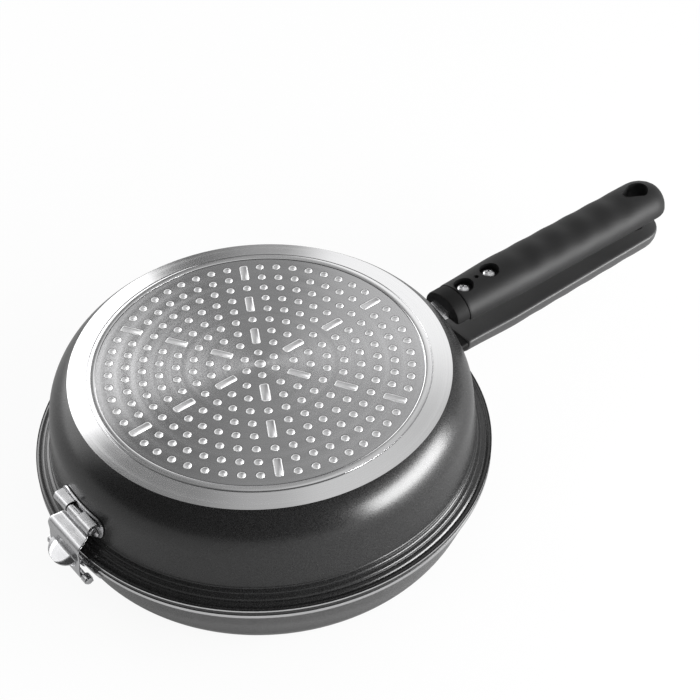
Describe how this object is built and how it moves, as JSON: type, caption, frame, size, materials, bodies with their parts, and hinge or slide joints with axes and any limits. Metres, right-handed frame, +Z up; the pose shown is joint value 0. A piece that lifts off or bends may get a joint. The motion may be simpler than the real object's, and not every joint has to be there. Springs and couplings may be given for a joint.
{
  "type": "tortilla pan",
  "caption": "Closed double frying pan: round pans rim to rim, each with a half-round handle, hinged and held by a sprung clip opposite the handles.",
  "frame": {"origin": "centre of the lower pan's base, on the plane that it stands on", "axes": "+X along the handles, +Z up, the clip is on the -X side"},
  "size_m": [0.4333, 0.24, 0.0914],
  "materials": {
    "dark_coat": "satin dark coating on pressed aluminium, bare machined rim band and base ring",
    "perforated_steel": "turned stainless plate with perforations",
    "bright_steel": "bright stainless sheet and rivets",
    "black_grip": "matte black moulded grip",
    "screw_steel": "bright zinc screw"
  },
  "bodies": {
    "lower_pan": {"lower_pan_body": "dark_coat", "lower_induction_plate": "perforated_steel", "lower_handle_bracket": "bright_steel", "lower_handle_rivet_left": "bright_steel", "lower_handle_rivet_right": "bright_steel", "lower_handle_collar": "black_grip", "lower_handle_grip": "black_grip", "lower_handle_screw_front": "screw_steel", "lower_handle_screw_rear": "screw_steel", "lower_catch_bracket": "bright_steel", "lower_catch_pin": "bright_steel", "lower_catch_rivet_left": "bright_steel", "lower_catch_rivet_right": "bright_steel"},
    "upper_pan": {"upper_pan_body": "dark_coat", "upper_induction_plate": "perforated_steel", "upper_handle_bracket": "bright_steel", "upper_handle_rivet_left": "bright_steel", "upper_handle_rivet_right": "bright_steel", "upper_handle_collar": "black_grip", "upper_handle_grip": "black_grip", "upper_handle_screw_front": "screw_steel", "upper_handle_screw_rear": "screw_steel", "upper_latch_bracket": "bright_steel", "upper_latch_pin": "bright_steel", "upper_latch_rivet_left": "bright_steel", "upper_latch_rivet_right": "bright_steel"},
    "latch": {"latch_clip": "bright_steel"}
  },
  "joints": [
    {"name": "pan_opening", "type": "hinge", "parent": "lower_pan", "child": "upper_pan", "pos_m": [-0.1222, 0, 0.0309], "axis": [0, -1, 0], "range_deg": [0, 85]},
    {"name": "latch_release", "type": "hinge", "parent": "upper_pan", "child": "latch", "pos_m": [-0.1147, 0, 0.0604], "axis": [0, 1, 0], "range_deg": [0, 100]}
  ]
}
